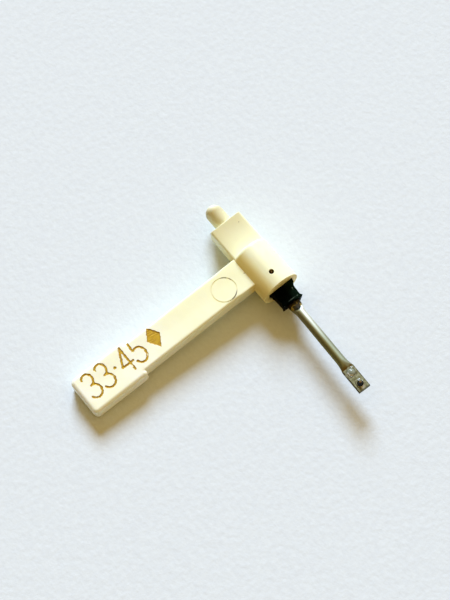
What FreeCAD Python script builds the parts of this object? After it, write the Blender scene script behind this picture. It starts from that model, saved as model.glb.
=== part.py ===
import FreeCAD, Part
import math
import os

from FreeCAD import Vector

# Turn-over stylus for a gramophone cartridge, in millimetres.
# X runs along the turning axis towards the tips, the finger lever points along -Y.
# +Z is the fine-groove side.
# The origin is on the turning axis, where the pivot pin leaves the detent block.

# Pivot pin at the back end, with a round nose
pin_radius = 0.74
pin_straight = 1.32

# Flat detent block between the pin and the boss
block_length = 2.92
block_width = 2.96
block_thickness = 1.66
block_edge = 0.18
block_back_edge = 0.05

# Round boss that turns in the cartridge
boss_radius = 1.66
boss_length = 4.12
boss_back_edge = 0.32
boss_mouth_edge = 0.03

# Finger lever with a wider head
lever_width = 2.76
lever_thickness = 1.50
lever_reach = 17.65
lever_edge = 0.12
head_length = 5.21
head_overhang = 0.35
head_corner = 0.45
head_shoulder = 0.29
notch_radius = 0.05

# Round witness mark that the mould left on both faces of the lever
witness_radius = 1.02
witness_from_axis = 3.66
witness_off_middle = 0.14
witness_groove = 0.08
witness_depth = 0.05

# Socket in the boss
socket_depth = 2.60
socket_corner = 0.06

# Rubber bush: a plug in the socket, a collar just outside it, and a waisted neck with a lip,
# which flares out to a point at its far upper corner
bush_plug_length = 2.30
bush_width = 2.20
bush_height = 1.15
bush_reach = 1.48
bush_collar = 0.24
bush_step = 0.06
bush_neck_width = 1.78
bush_waist_width = 1.66
bush_lip_width = 1.80
bush_lip = 0.22
bush_flare = 0.08
bush_nose = 0.10
bush_undercut = 0.24
bush_corner = 0.06
bush_point_corner = 0.02
bush_side_gap = 0.08
bush_face_gap = 0.02

# Retaining pin through boss and bush
retainer_radius = 0.20
retainer_setback = 1.13
retainer_sink = 0.28
retainer_foot = 0.40
retainer_chamfer = 0.04
retainer_gap = 0.01

# Cantilever tube, pressed flat at its tail and at its tip
tube_radius = 0.40
root_width = 1.12
root_height = 0.42
root_straight = 0.25
root_taper = 1.00
root_flat = 0.66
root_ramp = 0.32
root_steps = 4
tail_depth = 1.10
paddle_width = 1.06
paddle_thickness = 0.30
paddle_length = 2.10
paddle_taper = 0.90
paddle_edge = 0.06
cantilever_reach = 10.58
cantilever_lean = 2.26
cantilever_rise = 2.5
taper_steps = 8
least_flat = 0.01
same_place = 1e-4

# Jewel tips in the paddle
diamond_radius = 0.26
diamond_stand = 0.08
diamond_half_angle = 27.0
diamond_point = 0.018
diamond_dome = 0.06
diamond_from_end = 0.55
sapphire_radius = 0.35
sapphire_stand = 0.08
sapphire_half_angle = 27.0
sapphire_point = 0.065
sapphire_dome = 0.16
sapphire_from_end = 1.68
cement_gap = 0.01

# Places that follow from the sizes above
x_boss = block_length
x_mouth = x_boss + boss_length
x_retainer = x_mouth - retainer_setback
x_bush_front = x_mouth + bush_reach
x_flex = x_mouth + bush_reach / 2
x_end = x_mouth + cantilever_reach
x_lever_middle = x_boss + lever_width / 2
socket_width = bush_width + 2 * bush_side_gap
socket_height = bush_height + 2 * bush_face_gap
along_x = Vector(1, 0, 0)
along_y = Vector(0, 1, 0)
along_z = Vector(0, 0, 1)


def direction(edge):
    start, end = edge.Vertexes[0].Point, edge.Vertexes[-1].Point
    return (end - start).normalize()


def in_plane(edge, height):
    # True for an edge that lies all in the level plane at that height
    low, high = edge.BoundBox.ZMin, edge.BoundBox.ZMax
    return abs(low - height) < same_place and abs(high - height) < same_place


def rounded_wire(corners):
    # Closed level wire through (x, y, radius) corners, each turned by an arc of its radius
    places = [Vector(x, y, 0) for x, y, _ in corners]
    turns = []
    for i, (_, _, radius) in enumerate(corners):
        here = places[i]
        back = (places[i - 1] - here).normalize()
        on = (places[(i + 1) % len(places)] - here).normalize()
        half = back.getAngle(on) / 2
        set_off = radius / math.tan(half)
        middle = here + (back + on).normalize() * (radius / math.sin(half) - radius)
        turns.append((here + back * set_off, middle, here + on * set_off))
    edges = []
    for i, (start, middle, end) in enumerate(turns):
        edges.append(Part.Arc(start, middle, end).toShape())
        edges.append(Part.LineSegment(end, turns[(i + 1) % len(turns)][0]).toShape())
    return Part.Wire(edges)


def level_plate(corners, thickness):
    # Plate of that outline, centred on the plane of the turning axis
    face = Part.Face(rounded_wire(corners))
    face.translate(Vector(0, 0, -thickness / 2))
    return face.extrude(Vector(0, 0, thickness))


def cross_section(x, width, height, radius):
    # Rounded rectangle square to the turning axis, with the same eight edges at every place
    corners = [(y * width / 2, z * height / 2, radius) for y, z in ((-1, -1), (1, -1), (1, 1), (-1, 1))]
    wire = rounded_wire(corners)
    wire.rotate(Vector(0, 0, 0), Vector(1, 1, 1), 120)
    wire.translate(Vector(x, 0, 0))
    return wire


def make_pin():
    end = Vector(-pin_straight, 0, 0)
    shank = Part.makeCylinder(pin_radius, pin_straight + block_back_edge, end, along_x)
    nose = Part.makeSphere(pin_radius, end)
    return shank.fuse(nose)


def make_block():
    section = Part.Face(cross_section(0, block_width, block_thickness, block_edge))
    block = section.extrude(along_x * (block_length + boss_back_edge))
    back_rim = [e for e in block.Edges if e.BoundBox.XMax < block_back_edge]
    return block.makeFillet(block_back_edge, back_rim)


def make_boss():
    boss = Part.makeCylinder(boss_radius, boss_length, Vector(x_boss, 0, 0), along_x)
    for x, radius in ((x_boss, boss_back_edge), (x_mouth, boss_mouth_edge)):
        rim = [e for e in boss.Edges if e.Closed and abs(e.CenterOfMass.x - x) < same_place]
        boss = boss.makeFillet(radius, rim)
    return boss


def make_lever():
    back, front = x_boss, x_boss + lever_width
    neck_end = head_length - lever_reach
    shoulder = min(head_shoulder, head_overhang - notch_radius - least_flat)
    outline = [
        (back, 0, lever_edge),
        (back, neck_end, notch_radius),
        (back - head_overhang, neck_end, shoulder),
        (back - head_overhang, -lever_reach, head_corner),
        (front + head_overhang, -lever_reach, head_corner),
        (front + head_overhang, neck_end, shoulder),
        (front, neck_end, notch_radius),
        (front, 0, lever_edge),
    ]
    half_thickness = lever_thickness / 2
    upper = Part.Face(rounded_wire(outline)).extrude(along_z * half_thickness)
    upper = upper.makeFillet(lever_edge, [e for e in upper.Edges if in_plane(e, half_thickness)])
    lower = upper.copy()
    lower.rotate(Vector(x_lever_middle, 0, 0), along_y, 180)
    lever = upper.fuse(lower).removeSplitter()
    for side in (1, -1):
        lever = lever.cut(make_witness_ring(side))
    return lever


def make_witness_ring(side):
    # Shallow ring groove in one face of the lever
    x_ring = x_lever_middle + witness_off_middle
    base = Vector(x_ring, -witness_from_axis, side * (lever_thickness / 2 - witness_depth))
    outer = Part.makeCylinder(witness_radius + witness_groove / 2, 2 * witness_depth, base, along_z * side)
    inner = Part.makeCylinder(witness_radius - witness_groove / 2, 2 * witness_depth, base, along_z * side)
    return outer.cut(inner)


def make_socket():
    corner = Vector(x_mouth - socket_depth, -socket_width / 2, -socket_height / 2)
    socket = Part.makeBox(socket_depth + boss_mouth_edge, socket_width, socket_height, corner)
    lengthwise = [e for e in socket.Edges if direction(e).cross(along_x).Length < same_place]
    return socket.makeFillet(socket_corner, lengthwise)


def retainer_column(radius, top, bottom):
    return Part.makeCylinder(radius, top - bottom, Vector(x_retainer, 0, bottom), along_z)


def make_lever_body():
    body = make_boss().multiFuse([make_block(), make_pin(), make_lever()]).removeSplitter()
    body = body.cut(make_socket())
    foot = -socket_height / 2 - retainer_foot
    return body.cut(retainer_column(retainer_radius + retainer_gap, boss_radius + retainer_sink, foot))


def make_retaining_pin():
    pin = retainer_column(retainer_radius, boss_radius - retainer_sink, -socket_height / 2 - retainer_foot)
    ends = [e for e in pin.Edges if e.Closed]
    return pin.makeChamfer(retainer_chamfer, ends)


def drawn_aside(x, y, radius):
    # A corner on the bush's free neck, which the leaning cantilever has drawn with it
    place = Part.Vertex(x, y, 0)
    place.rotate(Vector(x_mouth, 0, 0), along_z, -cantilever_lean)
    return place.X, place.Y, radius


def make_undercut(y_point):
    # What is missing from the neck's far side, which slants in from the lip's point to the underside
    above, below = y_point + bush_undercut / 2, y_point - bush_undercut * 3 / 2
    corners = [(above, bush_height), (below, -bush_height),
               (above + bush_width, -bush_height), (above + bush_width, bush_height)]
    places = [Vector(x_mouth + bush_collar + bush_step, y, z) for y, z in corners]
    undercut = Part.Face(Part.makePolygon(places + places[:1])).extrude(along_x * 2 * bush_reach)
    undercut.rotate(Vector(x_mouth, 0, 0), along_z, -cantilever_lean)
    return undercut


def make_bush():
    x_back, x_collar = x_mouth - bush_plug_length, x_mouth + bush_collar
    y_point = bush_lip_width / 2 + bush_flare
    outline = [
        (x_back, -bush_width / 2, bush_corner),
        (x_collar, -bush_width / 2, bush_corner),
        drawn_aside(x_collar + bush_step, -bush_neck_width / 2, bush_corner),
        drawn_aside(x_bush_front - bush_lip, -bush_waist_width / 2, bush_corner),
        drawn_aside(x_bush_front, -bush_lip_width / 2, bush_corner),
        drawn_aside(x_bush_front + bush_nose, y_point, bush_point_corner),
        drawn_aside(x_bush_front + bush_nose - bush_lip, bush_waist_width / 2, bush_corner),
        drawn_aside(x_collar + bush_step, bush_neck_width / 2, bush_corner),
        (x_collar, bush_width / 2, bush_corner),
        (x_back, bush_width / 2, bush_corner),
    ]
    bush = level_plate(outline, bush_height).cut(make_undercut(y_point))
    bush = bush.cut(make_cantilever_blank())
    return bush.cut(retainer_column(retainer_radius + retainer_gap, bush_height, -bush_height))


def share_of(place, start, length):
    # 0 up to the start, 1 beyond the length, straight between
    return min(1, max(0, (place - start) / length))


def soft_ends(t):
    return t * t * (3 - 2 * t)


def between(start, end, shares):
    return [a + (b - a) * share for a, b, share in zip(start, end, shares)]


def root_sections(flat_root, round_tube):
    # The pressed root narrows over its taper, and its top climbs to the round tube over the shorter ramp
    places = [root_straight + root_taper * step / root_steps for step in range(root_steps + 1)]
    sections = []
    for place in sorted(places + [root_flat, root_flat + root_ramp]):
        narrowed = soft_ends(share_of(place, root_straight, root_taper))
        climbed = share_of(place, root_flat, root_ramp)
        size = between(flat_root, round_tube, (narrowed, climbed, climbed))
        sections.append(cross_section(x_bush_front + place, *size))
    return sections


def paddle_sections(round_tube, paddle, paddle_start):
    # The tube is pressed flatter and wider up to a crease where the paddle starts
    sections = []
    for step in range(taper_steps + 1):
        t = step / taper_steps
        size = between(round_tube, paddle, (t * t, t * t, t * t))
        sections.append(cross_section(paddle_start - paddle_taper * (1 - t), *size))
    return sections


def lean(shape):
    # The cantilever has settled a little to the lever's side and towards the fine-groove face
    shape.rotate(Vector(x_flex, 0, 0), along_y, -cantilever_rise)
    shape.rotate(Vector(x_flex, 0, 0), along_z, -cantilever_lean)
    return shape


def make_cantilever_blank():
    flat_root = (root_width, root_height, root_height / 2 - least_flat)
    round_tube = (2 * tube_radius, 2 * tube_radius, tube_radius - least_flat)
    paddle = (paddle_width, paddle_thickness, paddle_edge)
    sections = [cross_section(x_bush_front - tail_depth, *flat_root)]
    sections += root_sections(flat_root, round_tube)
    sections += paddle_sections(round_tube, paddle, x_end - paddle_length)
    sections += [cross_section(x_end, *paddle)]
    return lean(Part.makeLoft(sections, True, True))


def jewel_column(from_end, radius):
    base = Vector(x_end - from_end, 0, -paddle_thickness)
    return lean(Part.makeCylinder(radius, 2 * paddle_thickness, base, along_z))


def make_cantilever():
    tube = make_cantilever_blank()
    tube = tube.cut(jewel_column(diamond_from_end, diamond_radius + cement_gap))
    return tube.cut(jewel_column(sapphire_from_end, sapphire_radius + cement_gap))


def make_jewel(from_end, side, radius, stand, half_angle, point, dome):
    # Turned jewel: a domed back, a shank through the paddle, a cone, and a ball point of the groove's radius
    angle = math.radians(half_angle)
    bottom = -paddle_thickness / 2
    shoulder = paddle_thickness / 2 + stand
    dome_radius = (radius ** 2 + dome ** 2) / (2 * dome)
    dome_middle = bottom - dome + dome_radius - math.sqrt(dome_radius ** 2 - (radius / 2) ** 2)
    back = Vector(0, 0, bottom - dome)
    rim = Vector(radius, 0, bottom)
    apex = shoulder + radius / math.tan(angle)
    ball = apex - point / math.sin(angle)
    tangent = Vector(point * math.cos(angle), 0, ball + point * math.sin(angle))
    half_turn = (math.pi / 2 - angle) / 2 + angle
    on_ball = Vector(point * math.cos(half_turn), 0, ball + point * math.sin(half_turn))
    tip = Vector(0, 0, ball + point)
    profile = [
        Part.Arc(back, Vector(radius / 2, 0, dome_middle), rim).toShape(),
        Part.LineSegment(rim, Vector(radius, 0, shoulder)).toShape(),
        Part.LineSegment(Vector(radius, 0, shoulder), tangent).toShape(),
        Part.Arc(tangent, on_ball, tip).toShape(),
        Part.LineSegment(tip, back).toShape(),
    ]
    jewel = Part.Face(Part.Wire(profile)).revolve(Vector(0, 0, 0), along_z, 360)
    if side < 0:
        jewel.rotate(Vector(0, 0, 0), along_x, 180)
    jewel.translate(Vector(x_end - from_end, 0, 0))
    return lean(jewel)


def make_diamond_tip():
    return make_jewel(diamond_from_end, 1, diamond_radius, diamond_stand, diamond_half_angle, diamond_point,
                      diamond_dome)


def make_sapphire_tip():
    return make_jewel(sapphire_from_end, -1, sapphire_radius, sapphire_stand, sapphire_half_angle,
                      sapphire_point, sapphire_dome)


nodes = {
    "lever_body": make_lever_body,
    "rubber_bush": make_bush,
    "retaining_pin": make_retaining_pin,
    "cantilever_tube": make_cantilever,
    "diamond_tip": make_diamond_tip,
    "sapphire_tip": make_sapphire_tip,
}

os.makedirs("parts", exist_ok=True)
for name, make in nodes.items():
    shape = make()
    shape.exportStep("parts/" + name + ".step")
    box = shape.BoundBox
    print(name, shape.ShapeType, len(shape.Solids), "valid", shape.isValid(),
          "volume", round(shape.Volume, 4), "x", round(box.XMin, 3), round(box.XMax, 3),
          "y", round(box.YMin, 3), round(box.YMax, 3), "z", round(box.ZMin, 3), round(box.ZMax, 3))
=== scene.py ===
import math

import bmesh
import bpy
import numpy as np
from mathutils import Matrix, Vector


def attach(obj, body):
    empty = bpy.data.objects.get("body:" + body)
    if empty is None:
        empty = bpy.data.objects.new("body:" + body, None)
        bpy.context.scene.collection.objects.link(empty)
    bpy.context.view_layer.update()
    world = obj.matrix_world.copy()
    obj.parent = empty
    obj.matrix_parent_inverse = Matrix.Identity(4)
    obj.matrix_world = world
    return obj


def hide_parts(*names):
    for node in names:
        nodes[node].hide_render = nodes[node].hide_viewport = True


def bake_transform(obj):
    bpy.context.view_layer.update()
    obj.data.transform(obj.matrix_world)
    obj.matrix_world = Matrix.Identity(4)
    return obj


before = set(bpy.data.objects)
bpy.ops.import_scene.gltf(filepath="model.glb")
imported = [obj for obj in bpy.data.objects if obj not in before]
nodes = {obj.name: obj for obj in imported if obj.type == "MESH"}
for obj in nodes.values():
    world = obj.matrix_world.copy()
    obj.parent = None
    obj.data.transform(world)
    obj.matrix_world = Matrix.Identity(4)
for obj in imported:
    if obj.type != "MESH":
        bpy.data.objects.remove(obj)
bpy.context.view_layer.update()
mm = 0.001  # every size below is in millimetres


# Numbers, meshes and shader nodes

def paint(red, green, blue):
    # a colour as it looks on screen, 0 to 255, turned into the linear values that shaders take
    share = np.array([red, green, blue]) / 255
    linear = np.where(share <= 0.04045, share / 12.92, ((share + 0.055) / 1.055) ** 2.4)
    return (*linear.tolist(), 1.0)


def smoothStep(low, high, value):
    # 0 at low, 1 at high, and 3t^2 - 2t^3 between
    t = np.clip((value - low) / (high - low), 0, 1)
    return t * t * (3 - 2 * t)


def gridFaces(rows, columns, wrapRows=False, wrapColumns=False):
    # each quad joins a grid point with the next one along both parameters
    r = np.arange(rows if wrapRows else rows - 1)[:, None]
    c = np.arange(columns if wrapColumns else columns - 1)[None, :]
    nextR, nextC = (r + 1) % rows, (c + 1) % columns
    quads = [r * columns + c, r * columns + nextC, nextR * columns + nextC, nextR * columns + c]
    return np.stack(np.broadcast_arrays(*quads), -1).reshape(-1, 4)


def meshPiece(name, points, faces, material):
    # a new object at the origin, its points given in millimetres
    mesh = bpy.data.meshes.new(name)
    mesh.from_pydata((points.reshape(-1, 3) * mm).tolist(), [], faces)
    mesh.materials.append(material)
    changeMesh(mesh, lambda shape: bmesh.ops.recalc_face_normals(shape, faces=shape.faces))
    mesh.shade_smooth()
    return placeMesh(name, mesh)


def placeMesh(name, mesh):
    piece = bpy.data.objects.new(name, mesh)
    bpy.context.scene.collection.objects.link(piece)
    return piece


def changeMesh(mesh, change):
    shape = bmesh.new()
    shape.from_mesh(mesh)
    change(shape)
    shape.to_mesh(mesh)
    shape.free()


def feed(tree, socket, value):
    # a link where the value is another node's output, a plain setting otherwise
    if isinstance(value, bpy.types.NodeSocket):
        tree.links.new(value, socket)
    else:
        socket.default_value = value


def addNode(tree, kind, feeds=None, **settings):
    made = tree.nodes.new("ShaderNode" + kind)
    for key, value in settings.items():
        setattr(made, key, value)
    for key, value in (feeds or {}).items():
        # a Mix node holds a socket of each name for every type of data, and only one of them is on
        sockets = [s for s in made.inputs if s.name == key and s.enabled] if isinstance(key, str) else []
        feed(tree, sockets[0] if sockets else made.inputs[key], value)
    return made


class Finish:
    # a material with its shader, its Object coordinates in millimetres, and short calls for its nodes

    def __init__(self, name, **sockets):
        self.material = bpy.data.materials.new(name)
        self.material.use_nodes = True
        self.tree = self.material.node_tree
        self.shader = self.tree.nodes["Principled BSDF"]
        coords = addNode(self.tree, "TexCoord").outputs["Object"]
        self.place = self.vector("SCALE", coords, Scale=1 / mm).outputs[0]
        self.set(**sockets)

    def set(self, **sockets):
        for key, value in sockets.items():
            feed(self.tree, self.shader.inputs[key.replace("_", " ")], value)

    def vector(self, operation, first, second=None, **more):
        feeds = {0: first, **more} if second is None else {0: first, 1: second, **more}
        return addNode(self.tree, "VectorMath", feeds, operation=operation)

    def axis(self, letter):
        return addNode(self.tree, "SeparateXYZ", {0: self.place}).outputs[letter]

    def math(self, operation, first, second=0.0):
        return addNode(self.tree, "Math", {0: first, 1: second}, operation=operation).outputs[0]

    def times(self, first, *others):
        for other in others:
            first = self.math("MULTIPLY", first, other)
        return first

    def plus(self, first, *others):
        for other in others:
            first = self.math("ADD", first, other)
        return first

    def noise(self, perMm, detail=3.0, stretch=(1, 1, 1), shift=(0, 0, 0)):
        moved = addNode(self.tree, "Mapping", {"Vector": self.place, "Scale": stretch, "Location": shift})
        feeds = {"Vector": moved.outputs[0], "Scale": perMm, "Detail": detail}
        return addNode(self.tree, "TexNoise", feeds).outputs[0]

    def ease(self, value, low, high, start=0.0, end=1.0):
        # start below low, end above high, soft between
        feeds = {"Value": value, "From Min": low, "From Max": high, "To Min": start, "To Max": end}
        return addNode(self.tree, "MapRange", feeds, interpolation_type="SMOOTHSTEP").outputs[0]

    def patches(self, perMm, detail=4.0, low=0.35, high=0.7, start=0.0, end=1.0, **more):
        return self.ease(self.noise(perMm, detail, **more), low, high, start, end)

    def blend(self, share, first, second):
        mix = addNode(self.tree, "Mix", {"Factor": share, "A": first, "B": second}, data_type="RGBA")
        return next(s for s in mix.outputs if s.enabled)

    def away(self, centre, axes=(1, 1, 1)):
        # distance from a point, counting only the axes given as 1
        gap = self.vector("SUBTRACT", self.place, centre).outputs[0]
        gap = self.vector("MULTIPLY", gap, axes).outputs[0]
        return self.vector("LENGTH", gap).outputs["Value"]

    def aside(self, centre, way):
        # distance from a point, measured along a way
        gap = self.vector("SUBTRACT", self.place, centre).outputs[0]
        return self.vector("DOT_PRODUCT", gap, way).outputs["Value"]

    def facing(self, way):
        # how far the surface turns towards a way, both in the piece's own axes
        normal = addNode(self.tree, "TexCoord").outputs["Normal"]
        return self.vector("DOT_PRODUCT", normal, way).outputs["Value"]

    def hump(self, letter, centre, half):
        # 1 at the centre, falling to 0 at half its width away, level at both
        off = self.math("ABSOLUTE", self.math("SUBTRACT", self.axis(letter), centre))
        return self.ease(off, 0, half, 1, 0)

    def bump(self, height, depth=1.0):
        # height is in units of the depth, which is in millimetres
        feeds = {"Height": height, "Distance": depth * mm}
        self.set(Normal=addNode(self.tree, "Bump", feeds).outputs[0])


# Cream moulding

cream = {
    "light": paint(255, 255, 232),
    "deep": paint(255, 255, 219),
    "warm": paint(255, 254, 194),
    "warmFrom": (-14, -4),  # the colour is warmer near the boss than at the head
    "warmShare": 0.5,
    "tan": paint(206, 182, 120),
    "darkBrown": paint(84, 66, 34),
    "scatter": 0.15,  # share of the light that travels inside
    "scatterReach": 0.5,
    "scatterRadius": (1.0, 0.85, 0.5),  # red goes furthest
    "swell": 0.036,
    "grain": 0.004,
    "ring": (4.44, -3.66, 0),
    "ringRadius": 1.02,
    "ringEdge": (0.03, 0.06),  # half the groove's width, and where its stain stops
    "ringTan": 0.2,
    "ringDarkArcs": [((-0.62, 0.78, 0), 0.80), ((0.94, 0.26, 0), 0.72)],  # way from the ring's middle, width
    "pinDarkening": (-0.25, 0.0, 0.28),  # where the pin's tan darkening is full and where it stops, its strength
    "darkeningSide": (-0.6, 0.2),  # it thins out from the lever's side to the far one
    "specks": [((0.73, 0.86, 0.83), 0.055), ((4.37, -1.55, 0.75), 0.06)],
    "speckShare": 0.75,
    "bore": (5.91, 0, 0),
    "boreEdge": (0.215, 0.24),  # distance from the hole's axis, just past its wall
    "boreDepth": (1.56, 1.62),  # the wall's colour is full at the first height and stops at the second
    "boreShare": 0.85,
    # painted light and shade: the cross hole's wall is coloured golden tan to look like the lit and shaded
    # hole
    "boreLightAndShade": paint(176, 148, 58),
    "through": paint(252, 232, 148),  # painted warm shade, for light that has travelled inside the boss
    "throughWay": (0.6, -0.8, 0),  # it shows on faces turned this way
    "throughShare": (0.15, 0.6),
    "throughFrom": ((0.8, 3.4), (-2.3, -1.75)),  # where it begins and is full, along X and along Y
    "blockSink": (2.92, 1.48, 0.52, 0.05),  # length, half width, fall to the front, crown across
    "leverSink": (4.30, 1.38, 0.030),  # middle, half width, depth
    "leverEnds": (-17.5, -16.2, -2.8, -1.7),  # the hollow is full between the two middle values
}


def creamPlastic():
    finish = Finish("creamPlastic", IOR=1.49, Subsurface_Weight=cream["scatter"],
                    Subsurface_Scale=cream["scatterReach"] * mm, Subsurface_Radius=cream["scatterRadius"])
    colour = finish.blend(finish.patches(0.35, 4, 0.3, 0.7), cream["light"], cream["deep"])
    warmth = finish.ease(finish.axis("Y"), *cream["warmFrom"], 0, cream["warmShare"])
    colour = finish.blend(warmth, colour, cream["warm"])
    # painted warm shade where the boss turns from the sun
    colour = finish.blend(throughLight(finish), colour, cream["through"])
    inGroove, darkerArcs = ringDarkening(finish)
    colour = finish.blend(finish.times(inGroove, cream["ringTan"]), colour, cream["tan"])
    colour = finish.blend(finish.times(inGroove, darkerArcs), colour, cream["darkBrown"])
    # the pin is darker tan towards the lever's side
    full, stop, strength = cream["pinDarkening"]
    pinDarker = finish.ease(finish.axis("X"), full, stop, strength, 0)
    pinDarker = finish.times(pinDarker, finish.ease(finish.axis("Y"), *cream["darkeningSide"], 1, 0))
    colour = finish.blend(pinDarker, colour, cream["tan"])
    for centre, radius in cream["specks"]:
        ragged = finish.plus(finish.away(centre), finish.times(finish.noise(14), 0.05))
        speck = finish.ease(ragged, 0.6 * radius, 1.5 * radius, cream["speckShare"], 0)
        colour = finish.blend(speck, colour, cream["darkBrown"])
    # painted light and shade on the cross hole's wall
    colour = finish.blend(insideBore(finish), colour, cream["boreLightAndShade"])
    finish.set(Base_Color=colour, Roughness=finish.patches(3, 5, 0.3, 0.7, 0.36, 0.5))
    swell = finish.times(finish.noise(0.5, 2), cream["swell"])
    grain = finish.times(finish.noise(9, 4), cream["grain"])
    finish.bump(finish.plus(swell, grain, sinkMarks(finish)))
    return finish.material


def throughLight(finish):
    # painted warm shade: the boss is coloured warmer where it turns from the sun
    share = finish.ease(finish.facing(cream["throughWay"]), *cream["throughShare"])
    for letter, (begins, full) in zip("XY", cream["throughFrom"]):
        share = finish.times(share, finish.ease(finish.axis(letter), begins, full))
    return share


def insideBore(finish):
    # where the painted light and shade of the cross hole's wall go, from a little below its rim
    around = finish.ease(finish.away(cream["bore"], (1, 1, 0)), *cream["boreEdge"], 1, 0)
    return finish.times(around, finish.ease(finish.axis("Z"), *cream["boreDepth"], cream["boreShare"], 0))


def ringDarkening(finish):
    # the ring groove is darker, most on two arcs of it
    off = finish.math("SUBTRACT", finish.away(cream["ring"], (1, 1, 0)), cream["ringRadius"])
    inGroove = finish.ease(finish.math("ABSOLUTE", off), *cream["ringEdge"], 1, 0)
    darkerArcs = 0.0
    for way, width in cream["ringDarkArcs"]:
        darkerArcs = finish.plus(finish.ease(finish.aside(cream["ring"], way), width, 1.0, 0.0, 0.85), darkerArcs)
    return inGroove, finish.times(darkerArcs, finish.patches(2.2, 3, 0.30, 0.55))


def sinkMarks(finish):
    # thick walls shrink as they set, so the flat faces are a little hollow
    length, half, fall, crown = cream["blockSink"]
    left = finish.math("MAXIMUM", finish.math("SUBTRACT", 1, finish.times(finish.axis("X"), 1 / length)), 0)
    offMiddle = finish.math("ABSOLUTE", finish.times(finish.axis("Y"), 1 / half))
    across = finish.times(finish.math("POWER", offMiddle, 4), crown)
    block = finish.math("SUBTRACT", finish.times(left, left, fall), across)
    block = finish.times(block, finish.math("LESS_THAN", offMiddle, 1), finish.math("GREATER_THAN", left, 0))
    middle, halfWidth, depth = cream["leverSink"]
    end, full, last, start = cream["leverEnds"]
    along = finish.ease(finish.axis("Y"), end, full)
    along = finish.times(along, finish.ease(finish.axis("Y"), last, start, 1, 0))
    return finish.plus(block, finish.times(finish.hump("X", middle, halfWidth), along, -depth))


# Worn round edges of the finger lever and its head

edges = {
    "face": 0.75,  # height of the lever's flat face
    "middle": 4.30,
    "leverHalf": 1.38,
    "headHalf": 1.73,
    "end": -17.65,
    "neck": -12.44,
    "endCorner": 0.45,
    "shoulder": 0.29,
    "headRadius": 0.34,
    "leverRadius": 0.24,
    "fade": (-3.4, -2.4),  # the rounding fades out before the boss
    "leastShare": 0.25,  # what is left of the radius there
    "beamOverlap": 1,  # how far the beam's outline runs on into the head
    "past": 0.12,  # how far the cutter reaches past the outline
    "clear": 0.06,  # how far it stands off the flat face
    "lift": 0.002,
    "lid": 1.75,
    "fine": 0.02,
    "coarse": 0.6,
    "merge": 0.0002,
    "sharpFrom": 38,  # degrees
}


def insideHead(x, y):
    # depth inside a box with round corners: q is measured from a corner's centre, and the depth is
    # r - |q| in the corner and the distance to the nearer side elsewhere
    middle, half = (edges["end"] + edges["neck"]) / 2, (edges["neck"] - edges["end"]) / 2
    corner = np.where(y < middle, edges["endCorner"], edges["shoulder"])
    qx = np.abs(x - edges["middle"]) - edges["headHalf"] + corner
    qy = np.abs(y - middle) - half + corner
    return corner - np.hypot(np.maximum(qx, 0), np.maximum(qy, 0)) - np.minimum(np.maximum(qx, qy), 0)


def insideLever(x, y):
    # the head's and the beam's depths, added as the two sides of a right angle where both hold
    beam = edges["leverHalf"] - np.abs(x - edges["middle"])
    beam = np.minimum(beam, y - edges["neck"] + edges["beamOverlap"])
    return np.hypot(np.maximum(insideHead(x, y), 0), np.maximum(beam, 0))


def gridLines(*stretches):
    # places along one axis, each stretch given as start, end and step
    return np.unique(np.concatenate([np.arange(*stretch) for stretch in stretches]).round(4))


def edgeCutter(side, material):
    # a height field that follows a quarter circle of radius r within r of the outline:
    # z = face - r + sqrt(r^2 - (r - depth)^2), and stands clear of the face further in
    fine, coarse, past = edges["fine"], edges["coarse"], edges["past"]
    near, inner = edges["headHalf"] + past, edges["leverHalf"] - edges["headRadius"]
    across = gridLines((-near, -inner, fine), (-inner, inner, coarse), (inner, near, fine))
    fadeStart, fadeEnd = edges["fade"]
    headStart, headEnd = edges["end"] + 2 * edges["headRadius"], edges["neck"] - 2 * edges["headRadius"]
    onBeam = edges["neck"] + edges["headRadius"]
    along = gridLines((edges["end"] - past, headStart, fine), (headStart, headEnd, coarse),
                      (headEnd, onBeam, fine), (onBeam, fadeStart, coarse), (fadeStart, fadeEnd + past, past))
    x, y = np.meshgrid(edges["middle"] + across, along)
    onHead = 1 - smoothStep(edges["neck"] - edges["headRadius"], edges["neck"], y)
    radius = edges["leverRadius"] + onHead * (edges["headRadius"] - edges["leverRadius"])
    radius = radius * (1 - (1 - edges["leastShare"]) * smoothStep(fadeStart, fadeEnd, y))
    depth = insideLever(x, y)
    gap = radius - np.minimum(depth, radius)
    quarter = edges["face"] - radius + np.sqrt(radius ** 2 - gap ** 2) + edges["lift"]
    z = np.where(depth < radius, quarter, edges["face"] + edges["clear"])
    return heightCutter("edgeCutter", x, y, side * z, side * edges["lid"], material)


def heightCutter(name, x, y, z, lidLevel, material):
    # a closed block: one side is the height field z, and a flat lid is the other
    rows, columns = x.shape
    index = np.arange(rows * columns).reshape(rows, columns)
    rim = np.concatenate([index[0, :-1], index[:-1, -1], index[-1, :0:-1], index[:0:-1, 0]])
    points = np.stack([x, y, z], -1).reshape(-1, 3)
    lid = points[rim] * (1, 1, 0) + (0, 0, lidLevel)
    lidIndex = len(points) + np.arange(len(rim))
    walls = np.stack([rim, np.roll(rim, -1), np.roll(lidIndex, -1), lidIndex], -1)
    faces = gridFaces(rows, columns).tolist() + walls.tolist() + [lidIndex.tolist()]
    return meshPiece(name, np.concatenate([points, lid]), faces, material)


# Sunk gold marking: plain numbers, a dot and a lozenge on the fine-groove face

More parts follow.
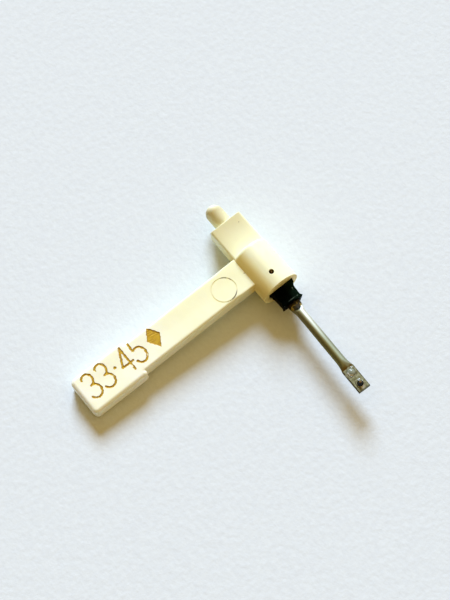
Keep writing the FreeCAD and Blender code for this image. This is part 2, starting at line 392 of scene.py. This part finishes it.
marking = {
    "face": 0.75,
    "baseline": 5.06,
    "height": 2.16,
    "start": -16.92,
    "digitWidth": 1.0,
    "digits": {0.0: "three", 1.30: "three", 3.20: "four", 4.46: "five"},
    "dot": (2.72, 0.5),
    "strokeHalf": 0.095,
    "dotHalf": 0.13,
    "depth": 0.06,
    "clear": 0.06,
    "edge": 0.04,
    "lozengeCentre": (3.95, -10.34),
    "lozengeHalf": (1.02, 0.635),
    "step": 0.034,
    "margin": 0.12,
    "lid": 1.75,
    "ragged": (0.012, 0.010),  # two waves that roughen the outline
    "grain": (0.004, 0.003),  # two waves that roughen the floor
}


def arcPath(centre, radii, start, end):
    # an ellipse's points between two angles: centre + (rx cos a, ry sin a)
    angle = np.radians(np.linspace(start, end, 60))
    return np.stack([centre[0] + radii[0] * np.cos(angle), centre[1] + radii[1] * np.sin(angle)], -1)


def linePath(start, end):
    # evenly spaced points from start to end
    share = np.linspace(0, 1, 60)[:, None]
    return np.array(start) * (1 - share) + np.array(end) * share


def digitStrokes(name):
    # pen strokes of a digit in a box one wide and one high
    if name == "three":
        return [arcPath((0.45, 0.76), (0.43, 0.24), 155, -90), arcPath((0.45, 0.26), (0.52, 0.26), 90, -155)]
    if name == "four":
        return [linePath((0.72, 1), (0, 0.3)), linePath((0, 0.3), (1, 0.3)), linePath((0.72, 1), (0.72, 0))]
    bowl = arcPath((0.45, 0.31), (0.52, 0.31), 128, -155)
    return [linePath((0.9, 1), (0.2, 1)), linePath((0.2, 1), (0.13, 0.56)), bowl]


def onLever(strokes, along):
    # box units to lever places: reading runs along +Y and a digit's top points to -X
    x = marking["baseline"] - strokes[:, 1] * marking["height"]
    y = marking["start"] + along + strokes[:, 0] * marking["digitWidth"]
    return np.stack([x, y], -1)


def distanceTo(path, x, y):
    # from each grid point to the nearest point of a path
    return np.sqrt((x[..., None] - path[:, 0]) ** 2 + (y[..., None] - path[:, 1]) ** 2).min(-1)


def outsideMarking(x, y):
    # how far a grid point is outside the nearest stroke, dot or lozenge: below 0 is inside it
    broad, narrow = marking["ragged"]
    ragged = broad * np.sin(17 * x + 5 * y) + narrow * np.sin(29 * y - 11 * x)
    outside = np.full(x.shape, np.inf)
    for along, name in marking["digits"].items():
        for stroke in digitStrokes(name):
            outside = np.minimum(outside, distanceTo(onLever(stroke, along), x, y) - marking["strokeHalf"])
    dotPlace = onLever(np.array([[0, marking["dot"][1]]]), marking["dot"][0])
    outside = np.minimum(outside, distanceTo(dotPlace, x, y) - marking["dotHalf"])
    (cx, cy), (hx, hy) = marking["lozengeCentre"], marking["lozengeHalf"]
    lozenge = (np.abs(x - cx) / hx + np.abs(y - cy) / hy - 1) * hx * hy / math.hypot(hx, hy)
    return np.minimum(outside, lozenge) + ragged


def engraver(material):
    # a block whose underside is a height field: below the face inside the marking, clear of it elsewhere
    reach = marking["margin"] + marking["strokeHalf"]
    farEnd = marking["lozengeCentre"][1] + marking["lozengeHalf"][1]
    digitTop = marking["baseline"] - marking["height"]
    xs = np.arange(digitTop - reach, marking["baseline"] + reach, marking["step"])
    ys = np.arange(marking["start"] - reach, farEnd + reach, marking["step"])
    x, y = np.meshgrid(xs, ys)
    clear = smoothStep(-marking["edge"], marking["edge"], outsideMarking(x, y))
    broad, narrow = marking["grain"]
    grain = broad * np.sin(13 * x + 9 * y) + narrow * np.sin(31 * x - 7 * y)
    low = marking["face"] - marking["depth"] + grain
    z = low + clear * (marking["face"] + marking["clear"] - low)
    return heightCutter("engraver", x, y, z, marking["lid"], material)


gold = {
    "bright": paint(202, 164, 16),
    "deep": paint(180, 140, 2),
    "brown": paint(166, 124, 14),
    "bare": paint(240, 232, 186),
    "wornUpTo": (-11.35, -11.15),  # the lozenge beyond it keeps its gold
    "rim": (0.71, 0.74),  # the gold turns brown between these heights
    "rimShare": 0.35,
}


def wornGold():
    finish = Finish("wornGold", Metallic=0.25)
    mottle = finish.patches(5, 5, 0.35, 0.65, stretch=(1, 0.35, 1))
    colour = finish.blend(mottle, gold["deep"], gold["bright"])
    nearEdge = finish.ease(finish.axis("Z"), *gold["rim"], 0, gold["rimShare"])
    colour = finish.blend(nearEdge, colour, gold["brown"])
    onDigits = finish.ease(finish.axis("Y"), *gold["wornUpTo"], 1, 0)
    worn = finish.patches(1.5, 5, 0.54, 0.64, shift=(3, 1, 0))
    finish.set(Base_Color=finish.blend(finish.times(worn, onDigits), colour, gold["bare"]))
    finish.set(Roughness=finish.patches(8, 4, 0.3, 0.7, 0.38, 0.58))
    finish.bump(finish.noise(11, 5), 0.02)
    return finish.material


def makeLever():
    # the CAD moulding, merged, with its lever edges rounded and the marking sunk into it
    mesh = nodes["lever_body"].data.copy()
    if "custom_normal" in mesh.attributes:
        mesh.attributes.remove(mesh.attributes["custom_normal"])
    merge = edges["merge"] * mm
    changeMesh(mesh, lambda shape: bmesh.ops.remove_doubles(shape, verts=shape.verts, dist=merge))
    mesh.materials.clear()
    plastic = creamPlastic()
    mesh.materials.append(plastic)
    blank = placeMesh("leverBlank", mesh)
    cutters = [edgeCutter(1, plastic), edgeCutter(-1, plastic), engraver(wornGold())]
    for cutter in cutters:
        cut = blank.modifiers.new(cutter.name, "BOOLEAN")
        cut.operation, cut.object, cut.solver, cut.material_mode = "DIFFERENCE", cutter, "EXACT", "TRANSFER"
    graph = bpy.context.evaluated_depsgraph_get()
    sunk = bpy.data.meshes.new_from_object(blank.evaluated_get(graph))
    sunk.name = "leverMoulding"
    for spare in (blank, *cutters):
        bpy.data.objects.remove(spare)
    sunk.shade_smooth()
    sunk.set_sharp_from_angle(angle=math.radians(edges["sharpFrom"]))
    piece = placeMesh("leverMoulding", sunk)
    even = piece.modifiers.new("evenShading", "WEIGHTED_NORMAL")
    even.keep_sharp, even.weight = True, 100
    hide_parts("lever_body")
    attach(piece, "lever")
    print("lever moulding", len(sunk.polygons), "faces", [m.name for m in sunk.materials])


# Cantilever: where it stands, and its drawn tube with a pressed paddle

settled = {
    "flex": 7.78,
    "mouth": 7.04,
    "lean": 2.26,  # degrees towards the lever
    "rise": 2.5,  # degrees towards the fine-groove face
    "end": 17.62,
}


def lean(points, pivot, rise=0.0):
    # turned about the pivot on the X axis: first the nose up, then aside towards -Y
    up, aside = math.radians(rise), math.radians(settled["lean"])
    c, s = math.cos(up), math.sin(up)
    raised = np.array([[c, 0, -s], [0, 1, 0], [s, 0, c]])
    c, s = math.cos(aside), math.sin(aside)
    turned = np.array([[c, s, 0], [-s, c, 0], [0, 0, 1]])
    return (points - (pivot, 0, 0)) @ (turned @ raised).T + (pivot, 0, 0)


tube = {
    "metal": paint(230, 234, 222),
    "dull": paint(158, 164, 140),
    # tarnished colour with painted shade and reflection on the tube's lever side
    "tarnishAndShade": paint(124, 116, 60),
    # painted reflection at the flattened root: dark golden-brown with gold glints
    "paintedAmber": paint(34, 25, 5),
    "paintedGlint": paint(150, 130, 56),
    "brown": paint(112, 86, 34),
    "paddle": paint(142, 142, 112),
    "paddleDark": paint(98, 97, 66),
    "paddleRim": paint(52, 51, 32),
    "rootEnd": 9.42,
    "dullFrom": 13.4,
    "rootBow": 1.4,  # the painted dark reflection at the root reaches least far along the tube's middle line
    "paddleStart": 15.50,
    "brownFrom": 14.95,
    "darkSideEdge": (-0.16, 0.20),  # across the tube: full on the lever's side, none on the far one; tarnished colour with painted shade and reflection
    "darkSideShare": 0.92,
    "rimSide": (0.43, 0.51),  # across the paddle, from its middle line
    "rimTip": (17.49, 17.59),
    "rimShare": 0.8,
}


def acrossTube(finish):
    # how far a place is from the leaning tube's middle line, towards +Y
    aside = math.tan(math.radians(settled["lean"]))
    line = finish.times(finish.math("SUBTRACT", finish.axis("X"), settled["flex"]), aside)
    return finish.plus(finish.axis("Y"), line)


def drawnAluminium():
    finish = Finish("drawnAluminium", Metallic=1.0)
    drawn = finish.noise(1.0, 4, stretch=(0.12, 9, 9))
    towardsPaddle = finish.ease(finish.axis("X"), tube["rootEnd"], tube["dullFrom"])
    colour = finish.blend(towardsPaddle, tube["metal"], tube["dull"])
    streak = finish.times(finish.math("SUBTRACT", drawn, 0.5), 0.25)
    across = acrossTube(finish)
    # tarnished colour with painted shade and reflection on the lever's side
    leverSide = finish.ease(finish.plus(across, streak), *tube["darkSideEdge"], tube["darkSideShare"], 0)
    colour = finish.blend(leverSide, colour, tube["tarnishAndShade"])
    towardsCrease = finish.ease(finish.axis("X"), tube["brownFrom"], tube["paddleStart"], 0, 0.9)
    browned = finish.times(towardsCrease, finish.patches(2.2, 3, 0.38, 0.55))
    colour = finish.blend(browned, colour, tube["brown"])
    # painted reflection at the flattened root: the rubber and the boss seen in it, dark golden-brown with
    # gold glints
    bowed = finish.plus(finish.axis("X"), finish.times(across, across, tube["rootBow"]))
    rootReflection = finish.ease(bowed, tube["rootEnd"] - 0.10, tube["rootEnd"] + 0.04, 0.95, 0.0)
    paintedAmber = finish.blend(finish.patches(3.0, 3, 0.54, 0.66), tube["paintedAmber"], tube["paintedGlint"])
    colour = finish.blend(rootReflection, colour, paintedAmber)
    onPaddle = finish.ease(finish.axis("X"), tube["paddleStart"] - 0.05, tube["paddleStart"] + 0.03)
    pressed = finish.noise(3.5, 5)
    grey = finish.blend(finish.ease(pressed, 0.35, 0.7), tube["paddle"], tube["paddleDark"])
    side = finish.ease(finish.math("ABSOLUTE", across), *tube["rimSide"], 0, tube["rimShare"])
    tip = finish.ease(finish.axis("X"), *tube["rimTip"], 0, tube["rimShare"])
    grey = finish.blend(finish.math("MAXIMUM", side, tip), grey, tube["paddleRim"])
    colour = finish.blend(finish.times(onPaddle, 0.9), colour, grey)
    smooth = finish.plus(finish.ease(drawn, 0.3, 0.7, 0.52, 0.66), finish.times(rootReflection, -0.24))
    finish.set(Base_Color=colour, Roughness=finish.plus(smooth, finish.times(onPaddle, -0.08)))
    finish.bump(finish.plus(finish.times(drawn, 0.004), finish.times(onPaddle, pressed, 0.016)))
    return finish.material


# Rubber block

rubber = {
    "stations": [
        # x, half width on the lever's side and on the far side, half height
        (4.76, 1.06, 1.06, 0.53),
        (4.82, 1.095, 1.095, 0.57),
        (6.86, 1.10, 1.10, 0.575),
        (7.02, 0.95, 1.10, 0.575),
        (7.22, 0.95, 1.10, 0.575),
        (7.28, 0.93, 1.07, 0.57),
        (7.34, 0.885, 0.905, 0.57),
        (7.70, 0.86, 0.86, 0.568),
        (8.26, 0.83, 0.832, 0.568),
        (8.36, 0.845, 0.838, 0.57),
        (8.50, 0.90, 0.962, 0.573),
        (8.52, 0.885, 0.965, 0.56),
    ],
    "corner": 0.05,
    "around": 120,
    "along": 140,
    "rings": 24,
    "neck": 7.30,
    "lip": 8.26,
    "nose": 0.09,  # how far the lip's far corner stands forward
    "point": 0.97,
    "undercut": 0.21,  # how far the far side slants in for each unit of height
    "ripple": 0.004,
    "drawnFrom": 7.34,  # from here on it is wholly drawn aside
    "sharpFrom": 50,  # degrees
    "colour": paint(0, 3, 0),
    "bloomAndSheen": paint(16, 34, 22),
    "bloomAndSheenFrom": (-0.1, 0.75),  # the greenish surface film with its painted sheen is thickest on the far side
    # painted highlights on the rubber's top and along its front edge
    "paintedRubberGlint": paint(120, 140, 124),
    "paintedRubberGlints": [  # centre, share of each axis that counts, radius, strength
        ((7.71, 0.61, 0.57), (0.7, 1, 1), 0.055, 0.9),
        ((7.83, 0.59, 0.57), (0.7, 1, 1), 0.04, 0.6),
        ((8.43, 0.53, 0.57), (1, 0.5, 1), 0.055, 0.45),
        ((8.40, 0.05, 0.57), (1, 0.08, 1), 0.045, 0.45),
    ],
}


def roundedSection(halfWidth, halfHeight, corner, count):
    # a rounded rectangle: four corner arcs joined by straight sides, walked at an even pace
    angle = np.linspace(0, 2 * np.pi, 96, endpoint=False)
    quarter = np.floor(angle / (np.pi / 2)).astype(int) % 4
    y = np.array([1, -1, -1, 1])[quarter] * (halfWidth - corner) + corner * np.cos(angle)
    z = np.array([1, 1, -1, -1])[quarter] * (halfHeight - corner) + corner * np.sin(angle)
    y, z = np.append(y, y[0]), np.append(z, z[0])
    walked = np.concatenate([[0], np.cumsum(np.hypot(np.diff(y), np.diff(z)))])
    at = np.linspace(0, walked[-1], count, endpoint=False)
    return np.interp(at, walked, y), np.interp(at, walked, z)


def makeRubber():
    # sections carried along X, wider on the far side where the lip flares, then both ends as rings that
    # shrink to their middles; what stands out of the boss is drawn aside with the cantilever
    stations = np.array(rubber["stations"])
    steps = np.hypot(np.diff(stations[:, 0]), 2 * np.diff(stations[:, 2]))
    walked = np.concatenate([[0], np.cumsum(steps)])
    at = np.linspace(0, walked[-1], rubber["along"])
    x, near, far, halfHeight = (np.interp(at, walked, stations[:, i])[:, None] for i in range(4))
    widest, tallest = far.max(), halfHeight.max()
    y, z = roundedSection(widest, tallest, rubber["corner"], rubber["around"])
    sides = [x, y * np.where(y > 0, far, near) / widest, z * halfHeight / tallest]
    sides = np.stack(np.broadcast_arrays(*sides), -1)
    wave = np.sin(9 * sides[..., 0] + 4 * sides[..., 1]) * np.sin(6 * sides[..., 1] + 5 * sides[..., 2])
    sides[..., 2] += rubber["ripple"] * wave * np.sign(sides[..., 2])
    slant = rubber["point"] - rubber["undercut"] * (tallest - sides[..., 2])
    onNeck = sides[..., 0] > rubber["neck"]
    sides[..., 1] = np.where(onNeck, np.minimum(sides[..., 1], slant), sides[..., 1])
    across = (sides[..., 1] / rubber["point"] + 1) / 2
    sides[..., 0] += rubber["nose"] * across * smoothStep(rubber["lip"], stations[-1, 0], sides[..., 0])
    share = np.linspace(1, 0, rubber["rings"] + 1)[1:-1, None, None]
    backMiddle, frontMiddle = sides[0].mean(0), sides[-1].mean(0)
    front = frontMiddle + (sides[-1] - frontMiddle) * share
    back = (backMiddle + (sides[0] - backMiddle) * share)[::-1]
    grid = np.concatenate([back, sides, front])
    rows, columns = grid.shape[:2]
    points = np.concatenate([grid.reshape(-1, 3), [backMiddle, frontMiddle]])
    out = smoothStep(settled["mouth"], rubber["drawnFrom"], points[:, :1])
    points = points + out * (lean(points, settled["mouth"]) - points)
    ring = np.arange(columns)
    turn = np.roll(ring, -1)
    last, middle = (rows - 1) * columns, rows * columns
    caps = np.concatenate([
        np.stack([turn, ring, np.full(columns, middle)], -1),
        np.stack([last + ring, last + turn, np.full(columns, middle + 1)], -1),
    ])
    faces = gridFaces(rows, columns, wrapColumns=True).tolist() + caps.tolist()
    piece = meshPiece("rubberBlock", points, faces, blackRubber())
    piece.data.set_sharp_from_angle(angle=math.radians(rubber["sharpFrom"]))
    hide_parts("rubber_bush")
    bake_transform(piece)
    print("rubber block", len(piece.data.polygons), "faces")


def blackRubber():
    finish = Finish("blackRubber", IOR=1.5, Specular_IOR_Level=0.01)
    # greenish surface film with a painted sheen, thickest on the far side
    bloomAndSheen = finish.ease(finish.axis("Y"), *rubber["bloomAndSheenFrom"])
    bloomAndSheen = finish.times(finish.patches(2.2, 5, 0.3, 0.7, 0.5), bloomAndSheen)
    colour = finish.blend(bloomAndSheen, rubber["colour"], rubber["bloomAndSheen"])
    # painted highlights on the rubber
    for centre, axes, radius, strength in rubber["paintedRubberGlints"]:
        ragged = finish.plus(finish.away(centre, axes), finish.times(finish.noise(9), 0.04))
        glinting = finish.ease(ragged, 0.5 * radius, 1.4 * radius, strength, 0)
        colour = finish.blend(glinting, colour, rubber["paintedRubberGlint"])
    finish.set(Base_Color=colour)
    finish.set(Roughness=finish.patches(5, 4, 0.3, 0.7, 0.5, 0.66))
    finish.bump(finish.noise(4, 5), 0.03)
    return finish.material


# Jewels, their cement, and the retaining pin

jewels = {
    "diamond": (0.55, 0.26, 0.075),  # from the cantilever's end, radius, rise of its cement
    "sapphire": (1.68, 0.35, 0.03),
    "paddleTop": 0.15,
    "cementSpread": 0.17,
    "cementSink": 0.02,
    "cementSwell": (0.22, 0.14),
    "cementInside": 0.03,  # how far the collar reaches into the jewel
    "cementEdge": 0.004,
    "around": 72,
    # painted shade: the diamond is black for the dark it shows end on
    "black": paint(2, 2, 1),
    "paintedAmber": paint(158, 126, 60),
    "point": (17.02, -0.365, 1.123),  # the diamond's tip, where a painted golden-brown glow stands for light shining out of it
    "glowReach": (0.10, 0.30),
    "dome": (15.92, -0.32, 0),  # middle of the sapphire's back end
    "crescent": (0.45, -0.89, 0),  # the side of it where a light crescent is painted
    "crescentFrom": (0.08, 0.2),
    "crescentRadius": 0.26,
    "crescentEdge": (0.02, 0.07),
    # painted light: the whitish colour of the sapphire's crescent and of the cement's highlight
    "paintedPaleLight": paint(238, 239, 226),
    "clear": paint(150, 156, 136),
    "cloud": paint(124, 130, 110),
    # painted shade: a dark ring round the sapphire's edge
    "outline": paint(64, 66, 46),
    "outlineFrom": (0.30, 0.34),
    "cement": paint(172, 172, 140),
    "cementDark": paint(104, 100, 62),
    "cementGlint": ((17.37, -0.39, 0.57), 0.22),  # where a painted highlight makes the cement palest, radius
    # painted shade on the pin's end deep in its hole, with a small painted highlight at its middle
    "brass": paint(160, 136, 112),
    "brassShaded": paint(58, 42, 20),
    "pinEnd": (5.84, 0.06, 0),
    "pinGlint": (0.06, 0.11),
}


def blackDiamond():
    finish = Finish("blackDiamond", IOR=1.6, Specular_IOR_Level=0.12)
    # painted light: a golden-brown glow at the tip; the black is painted shade, for the dark the diamond
    # shows end on
    ragged = finish.plus(finish.away(jewels["point"]), finish.times(finish.noise(6), 0.08))
    glowShare = finish.ease(ragged, *jewels["glowReach"], 1, 0)
    finish.set(Base_Color=finish.blend(glowShare, jewels["black"], jewels["paintedAmber"]))
    finish.set(Roughness=finish.patches(7, 3, 0.3, 0.7, 0.16, 0.26))
    finish.bump(finish.noise(6, 3), 0.008)
    return finish.material


def clearSapphire():
    finish = Finish("clearSapphire", IOR=1.77, Transmission_Weight=0.1, Specular_IOR_Level=0.06)
    colour = finish.blend(finish.patches(3, 4, 0.4, 0.7), jewels["clear"], jewels["cloud"])
    # painted light: a whitish crescent on one side of the sapphire
    fromMiddle = finish.away(jewels["dome"], (1, 1, 0))
    fromRing = finish.math("ABSOLUTE", finish.math("SUBTRACT", fromMiddle, jewels["crescentRadius"]))
    onSide = finish.ease(finish.aside(jewels["dome"], jewels["crescent"]), *jewels["crescentFrom"])
    paintedPaleLight = finish.times(finish.ease(fromRing, *jewels["crescentEdge"], 1, 0), onSide)
    colour = finish.blend(paintedPaleLight, colour, jewels["paintedPaleLight"])
    # painted shade: a dark ring round its edge
    outline = finish.ease(fromMiddle, *jewels["outlineFrom"])
    finish.set(Base_Color=finish.blend(outline, colour, jewels["outline"]))
    finish.set(Roughness=finish.patches(6, 3, 0.3, 0.7, 0.02, 0.08))
    finish.bump(finish.noise(5, 3), 0.006)
    return finish.material


def setCement():
    finish = Finish("setCement", IOR=1.5, Transmission_Weight=0.35)
    colour = finish.blend(finish.patches(5), jewels["cement"], jewels["cementDark"])
    # painted highlight: the cement is palest round one point
    centre, radius = jewels["cementGlint"]
    cementGlint = finish.ease(finish.away(centre), 0.4 * radius, radius, 1, 0)
    finish.set(Base_Color=finish.blend(cementGlint, colour, jewels["paintedPaleLight"]))
    finish.set(Roughness=finish.patches(7, 3, 0.3, 0.7, 0.05, 0.11))
    finish.bump(finish.noise(6, 3), 0.02)
    return finish.material


def brassWire():
    finish = Finish("brassWire", Metallic=1.0)
    # painted shade on the pin's end, with a small painted highlight at its middle
    ragged = finish.plus(finish.away(jewels["pinEnd"], (1, 1, 0)), finish.times(finish.noise(6), 0.05))
    offGlint = finish.ease(ragged, *jewels["pinGlint"])
    finish.set(Base_Color=finish.blend(offGlint, jewels["brass"], jewels["brassShaded"]))
    finish.set(Roughness=finish.patches(9, 3, 0.3, 0.7, 0.35, 0.6))
    finish.bump(finish.noise(8, 4), 0.015)
    return finish.material


def cementCollar(name, jewel, side, seed, material):
    # a collar turned about the jewel: its height falls as (1 - t)^1.2 from the jewel's wall to the paddle,
    # and its reach swells with the angle as a sum of sines
    fromEnd, radius, collarRise = jewels[jewel]
    angle = np.linspace(0, 2 * np.pi, jewels["around"], endpoint=False)[:, None]
    broad, narrow = jewels["cementSwell"]
    swell = 1 + broad * np.sin(2 * angle + seed) + narrow * np.sin(3 * angle + 2 * seed)
    t = np.linspace(0, 1, 10)
    spread, sink = jewels["cementSpread"], jewels["cementSink"]
    out = np.concatenate([[-jewels["cementInside"]], spread * t, [0.4 * spread]])
    rise = np.concatenate([[-sink], collarRise * (1 - t) ** 1.2 - jewels["cementEdge"] * t, [-sink]])
    reach = radius + out * np.where(out > 0, swell, 1)
    height = side * (jewels["paddleTop"] + rise * np.where(rise > 0, 0.8 + 0.2 * swell, 1))
    ring = [settled["end"] - fromEnd + reach * np.cos(angle), reach * np.sin(angle), height]
    ring = lean(np.stack(np.broadcast_arrays(*ring), -1), settled["flex"], settled["rise"])
    faces = gridFaces(*ring.shape[:2], wrapRows=True, wrapColumns=True).tolist()
    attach(meshPiece(name, ring, faces, material), "cantilever")


def makeJewelWork():
    for name, material in (("cantilever_tube", drawnAluminium()), ("diamond_tip", blackDiamond()),
                           ("sapphire_tip", clearSapphire()), ("retaining_pin", brassWire())):
        nodes[name].data.materials.clear()
        nodes[name].data.materials.append(material)
    cement = setCement()
    for jewel, seed in (("diamond", 0.6), ("sapphire", 2.1)):
        for face, side in (("upper", 1), ("lower", -1)):
            cementCollar(jewel + "Cement." + face, jewel, side, seed + side, cement)
    print("metal and jewels ready")


# Floor, light and camera

ground = {
    "normal": (0, 0.05195, 0.99865),
    "level": -1.66,
    "half": 4000,
    "paper": paint(225, 232, 234),
    "fibre": paint(221, 228, 231),
}


def paperFinish():
    finish = Finish("palePaper", Roughness=0.85)
    finish.set(Base_Color=finish.blend(finish.patches(2.6, 6, 0.3, 0.7), ground["paper"], ground["fibre"]))
    finish.bump(finish.noise(2.2, 6), 0.03)
    return finish.material


def makeFloor():
    # a flat square in the plane that the boss and the lever's free end rest on
    up = Vector(ground["normal"]).normalized()
    side = Vector((1, 0, 0))
    along = up.cross(side)
    ways = ((-1, -1), (1, -1), (1, 1), (-1, 1))
    corners = [up * ground["level"] + (side * a + along * b) * ground["half"] for a, b in ways]
    floor = meshPiece("floor", np.array([list(c) for c in corners]), [[0, 1, 2, 3]], paperFinish())
    if floor.data.polygons[0].normal.z < 0:
        floor.data.flip_normals()
    print("floor ready")


light = {
    "from": (-0.693, 0.487, 0.53),
    "colour": (0.611, 0.763, 1.0),
    "strength": 5.2,
    "angle": 26,
    "roomAxis": (-0.02, 0.46, 0.88),
    "room": [  # how far towards the axis, colour
        (-0.2, (0.028, 0.016, 0.002, 1)),
        (0.1, (0.14, 0.08, 0.018, 1)),
        (0.4, (0.36, 0.23, 0.062, 1)),
        (0.7, (0.57, 0.39, 0.14, 1)),
        (0.95, (0.69, 0.50, 0.215, 1)),
    ],
}


def makeLight():
    lamp = bpy.data.lights.new("softKey", "SUN")
    lamp.energy, lamp.color, lamp.angle = light["strength"], light["colour"], math.radians(light["angle"])
    key = bpy.data.objects.new("softKey", lamp)
    key.rotation_euler = Vector(light["from"]).to_track_quat("Z", "Y").to_euler()
    bpy.context.scene.collection.objects.link(key)
    world = bpy.data.worlds.new("room")
    world.use_nodes = True
    bpy.context.scene.world = world
    tree = world.node_tree
    way = addNode(tree, "TexCoord").outputs["Generated"]
    axis = tuple(Vector(light["roomAxis"]).normalized())
    facing = addNode(tree, "VectorMath", {0: way, 1: axis}, operation="DOT_PRODUCT").outputs["Value"]
    share = addNode(tree, "MapRange", {"Value": facing, "From Min": -1}).outputs[0]
    ramp = addNode(tree, "ValToRGB", {"Fac": share})
    steps = ramp.color_ramp.elements
    for place, (towards, colour) in enumerate(light["room"]):
        step = steps[place] if place < 2 else steps.new(1.0)
        step.position, step.color = (towards + 1) / 2, colour
    tree.links.new(ramp.outputs["Color"], tree.nodes["Background"].inputs["Color"])
    print("light ready")


lens = {
    "place": (38.783, -24.183, 111.903),
    "right": (0.62757, 0.77698, -0.04969),
    "up": (-0.72436, 0.60608, 0.32859),
    "back": (0.28542, -0.17021, 0.94316),
    "focal": 90,
    "sensor": 36,
    "clip": (0.005, 50),  # metres
}


def makeCamera():
    camera = bpy.data.cameras.new("camera")
    camera.lens, camera.sensor_width = lens["focal"], lens["sensor"]
    camera.clip_start, camera.clip_end = lens["clip"]
    stand = bpy.data.objects.new("camera", camera)
    turn = Matrix([lens["right"], lens["up"], lens["back"]]).transposed().to_4x4()
    stand.matrix_world = Matrix.Translation(Vector(lens["place"]) * mm) @ turn
    bpy.context.scene.collection.objects.link(stand)
    bpy.context.scene.camera = stand
    print("camera ready")


makeLever()
makeRubber()
makeJewelWork()
makeFloor()
makeLight()
makeCamera()
bpy.context.scene.view_settings.view_transform = "Standard"
